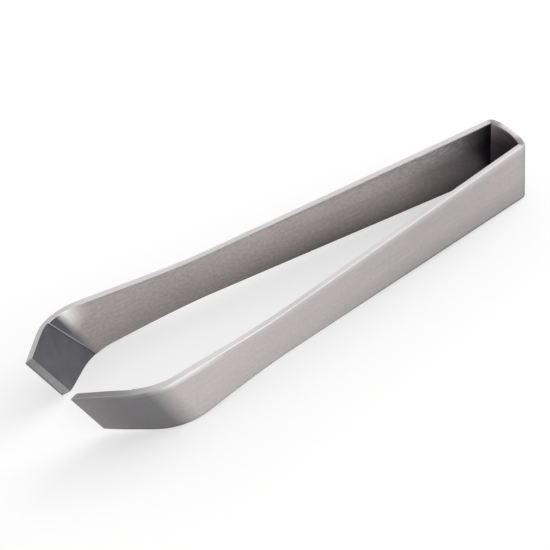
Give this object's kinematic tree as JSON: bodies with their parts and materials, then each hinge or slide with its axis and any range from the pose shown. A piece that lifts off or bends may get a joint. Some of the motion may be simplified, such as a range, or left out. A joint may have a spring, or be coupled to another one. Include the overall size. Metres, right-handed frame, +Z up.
{
  "type": "fish bone tweezers",
  "caption": "Sprung steel strip tweezers with two flat arms and slanted, folded jaws for pulling fish bones.",
  "frame": {"origin": "the middle of the sprung back's lower edge, on the surface that the tool lies on", "axes": "+X from the back towards the tips, +Y towards the left arm, +Z up, across the strip"},
  "size_m": [0.1198, 0.0314, 0.0153],
  "materials": {
    "satin_steel": "satin stainless steel, brushed along the arms, with polished rims and ground inner jaw faces"
  },
  "bodies": {
    "spring_back": {"spring_back": "satin_steel"},
    "left_arm": {"left_arm": "satin_steel"},
    "right_arm": {"right_arm": "satin_steel"}
  },
  "joints": [
    {"name": "left_arm_squeeze", "type": "hinge", "parent": "spring_back", "child": "left_arm", "pos_m": [0.00353, 0.00441, 0.00685], "axis": [0, 0, -1], "range_deg": [0, 3.45], "stiffness_Nm_per_rad": 12},
    {"name": "right_arm_squeeze", "type": "hinge", "parent": "spring_back", "child": "right_arm", "pos_m": [0.00353, -0.00441, 0.00685], "axis": [0, 0, 1], "range_deg": [0, 3.45], "stiffness_Nm_per_rad": 12}
  ],
  "couplings": [
    {"joint": "right_arm_squeeze", "follows": "left_arm_squeeze", "ratio": 1}
  ]
}
